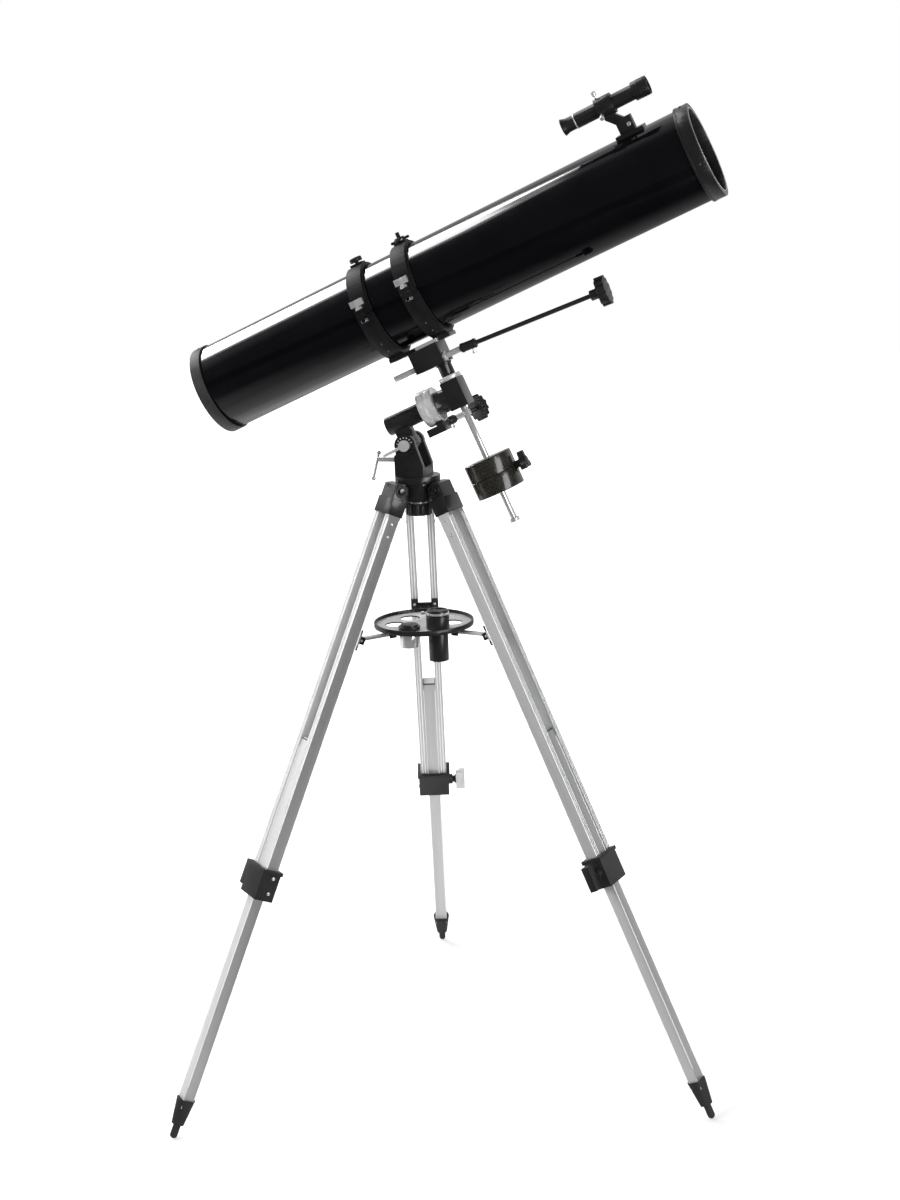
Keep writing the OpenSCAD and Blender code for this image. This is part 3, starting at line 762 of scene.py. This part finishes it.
def make_finder_fittings():
    """The finder's band, ribs, lens and foot screw."""
    lathe("eyepiece_band", band(710.5, 712.5, 10.6, 11.6), FINDER_AXIS, "telescope", "steel")
    for n, s in enumerate((816, 820, 824)):
        lathe("objective_rib_%d" % n, band(s, s + 1.6, 13.8, 14.5), FINDER_AXIS, "telescope",
              "satin")
    lens = [(815, 0), (815, 11.9), (817, 11.9), (818.5, 6), (819, 0)]
    lathe("objective", lens, FINDER_AXIS, "telescope", "glass")
    screw("foot_screw", at(FINDER, 782, -9.2, 84), "telescope", 3.4, 3.2, "y", -1, "chrome")


def make_focuser_fittings():
    """The drawtube's lips, and the grip ribs of both focus knobs."""
    for n, z in enumerate((123, 143)):
        lathe("drawtube_lip_%d" % n, band(z, z + 4, 17.4, 18.8), FOCUS, "drawtube", "chrome",
              "z")
    pinion = at(FOCUS, 0, 25, 102)
    rib, ribs = box_outline(-0.5, 0.5, 14.8, 15.7), 30
    for side in SIDES:
        knob = (side * 37 - 8, side * 37 + 8)
        merged("focus_grip_%d" % (side + 1), [
            prism("rib", rib, knob, turned(pinion, 360 // ribs * k, "X"), "focus_knobs",
                  "plastic", "x")
            for k in range(ribs)])


# ---- fittings on what stands in the tray ----
def make_tray_fittings():
    """The ring, lip, screw and ribs of the Barlow lens."""
    low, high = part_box("barlow")
    x, y = [MM_PER_M * (a + b) / 2 for a, b in zip(low[:2], high[:2])]
    barlow = at(EVERYWHERE, x, y, TRAY_FLOOR)
    lathe("barlow_ring", band(24, 27.5, 17.2, 18.7), barlow, "barlow", "chrome", "z")
    lip = [(29.9, 12.5), (29.9, 16.8), (31.2, 16.2), (31.2, 13.0)]
    lathe("barlow_lip", lip, barlow, "barlow", "satin", "z", 40)
    lathe("barlow_screw", stepped(-18, (-22, 1.6), (-27, 3)), at(barlow, 0, 0, 24.5),
          "barlow", "chrome", "x", 20)
    for n, z in enumerate((5, 8, 11)):
        lathe("barlow_rib_%d" % n, band(z, z + 1.4, 18.0, 18.7), barlow, "barlow", "satin",
              "z")


# ---- camera, light and floor ----
LENS_MM = 54.87
SENSOR_MM = 36
CAMERA_AT = (0.8508, -2.7552, 1.4672)
CAMERA_RIGHT = (0.9616, 0.2718, -0.0384)
CAMERA_UP = (-0.0252, 0.2270, 0.9736)
TO_CAMERA = (0.29, -0.95)
WHITE = (1, 1, 1, 1)
BLACK = (0, 0, 0, 1)


def make_camera():
    """Stands nearly 3 m away on the -Y side, a little above the mount, and is tilted 2 degrees."""
    data = bpy.data.cameras.new("camera")
    data.sensor_width = SENSOR_MM
    data.lens = LENS_MM
    cam = bpy.data.objects.new("camera", data)
    bpy.context.scene.collection.objects.link(cam)
    right = Vector(CAMERA_RIGHT).normalized()
    up = Vector(CAMERA_UP)
    up = (up - up.dot(right) * right).normalized()
    cam.matrix_world = axes_matrix(right, up, right.cross(up), CAMERA_AT)
    bpy.context.scene.camera = cam


def area_light(name, place, target, size, power, seen=True):
    """A soft box. One that isn't seen adds no highlight to gloss and bare metal."""
    data = bpy.data.lights.new(name, "AREA")
    data.shape = "RECTANGLE"
    data.size, data.size_y = size
    data.energy = power
    light = bpy.data.objects.new(name, data)
    bpy.context.scene.collection.objects.link(light)
    light.location = place
    aim = Vector(target) - Vector(place)
    light.rotation_euler = aim.to_track_quat("-Z", "Y").to_euler()
    light.visible_glossy = seen
    light.visible_camera = False
    return light


def only_on(light, keys):
    """Limits a light to the pieces whose first material is one of these, as a flag does."""
    names = {MAT[key].name for key in keys}
    group = bpy.data.collections.new(light.name + "_pieces")
    for obj in bpy.context.scene.objects:
        if obj.type == "MESH" and obj.data.materials and obj.data.materials[0].name in names:
            group.objects.link(obj)
    light.light_linking.receiver_collection = group


def make_world(front, behind):
    """White for the camera. Otherwise dim on the camera's side and bright behind the object."""
    world = bpy.data.worlds.new("studio")
    bpy.context.scene.world = world
    n = Tree(world)
    background = n.tree.nodes["Background"]
    background.inputs["Color"].default_value = WHITE
    direction = n.add("ShaderNodeTexCoord").outputs["Generated"]
    facing = n.toward(direction, (*TO_CAMERA, 0.10))
    level = n.spread(facing, (behind, front), (-0.45, 0.25), interpolation_type="SMOOTHSTEP")
    pick = n.add("ShaderNodeMix", B=1.0)
    n.feed(n.seen_by_camera(), pick.inputs["Factor"])
    n.feed(level, pick.inputs["A"])
    n.feed(pick.outputs["Result"], background.inputs["Strength"])


def glow_for_camera(n):
    """Keeps the floor white in the picture, more so far away, and adds no light to the object."""
    radius = n.add("ShaderNodeVectorMath", operation="LENGTH")
    n.feed(n.coords(), radius.inputs[0])
    glow = n.spread(radius.outputs["Value"], (0.45, 1.2), (0.5, 2.2))
    seen = n.calculate("MULTIPLY", glow, n.seen_by_camera())
    n.feed(seen, n.shader.inputs["Emission Strength"])


def darker_in_front(n):
    """Ends the white sweep in front of the object, so gloss pieces reflect something dark."""
    ahead = n.toward(n.coords(), (*TO_CAMERA, 0))
    level = n.spread(ahead, (0.0, 0.94), (-0.2, 0.9), interpolation_type="SMOOTHSTEP")
    reflected = n.calculate("SUBTRACT", 1, n.seen_by_camera())
    factor = n.calculate("MULTIPLY", level, reflected)
    base = n.shader.inputs["Base Color"]
    n.feed(n.blend(factor, base.links[0].from_socket, BLACK), base)


def make_floor():
    """A pale floor just below the feet."""
    bm = bmesh.new()
    bmesh.ops.create_grid(bm, x_segments=1, y_segments=1, size=12)
    floor = new_object("floor", bm)
    n = Look("pale_floor")
    n.colours(n.noise(0.5, 3), grey(0.91), grey(0.94))
    darker_in_front(n)
    glow_for_camera(n)
    n.set(Roughness=0.9, Emission_Color=WHITE)
    floor.data.materials.append(n.mat)
    floor.location.z = -0.001


def make_lights():
    """Places and targets are in metres, and powers in watts."""
    area_light("overhead", (-2.4, 0.9, 3.3), (0, 0, 1.2), (2.6, 3.4), 80)
    gloss = area_light("gloss", (-3.3, 1.5, 3.2), (0, 0, 1.2), (2.5, 4.8), 700)
    only_on(gloss, ("tube", "hammer"))
    glint = area_light("glint", (1.0, -2.9, 1.8), (0, 0, 0.5), (0.8, 0.8), 60, seen=False)
    only_on(glint, ("edge",))
    area_light("left_fill", (-2.4, -2.6, 2.0), (0, 0, 0.9), (2.0, 2.0), 80, seen=False)
    area_light("front_fill", (1.6, -2.8, 0.6), (0, 0, 0.6), (1.5, 1.5), 24, seen=False)
    strip = area_light("right_strip", (2.3, -1.5, 1.3), (0, 0, 0.9), (1.3, 2.2), 45)
    only_on(strip, [key for key in MAT if not key.startswith("aluminium")])


make_camera()
for node, look in CAD_LOOKS.items():
    eased(node, *look)
for i in LEG_NUMBERS:
    make_leg_fittings(i)
    make_edge_lines(i)
make_mount_fittings()
make_cable_fittings()
make_ring_fittings()
make_tube_fittings()
make_finder_fittings()
make_focuser_fittings()
make_tray_fittings()
make_world(front=0.10, behind=0.6)
make_floor()
make_lights()
bpy.context.scene.view_settings.view_transform = "Standard"
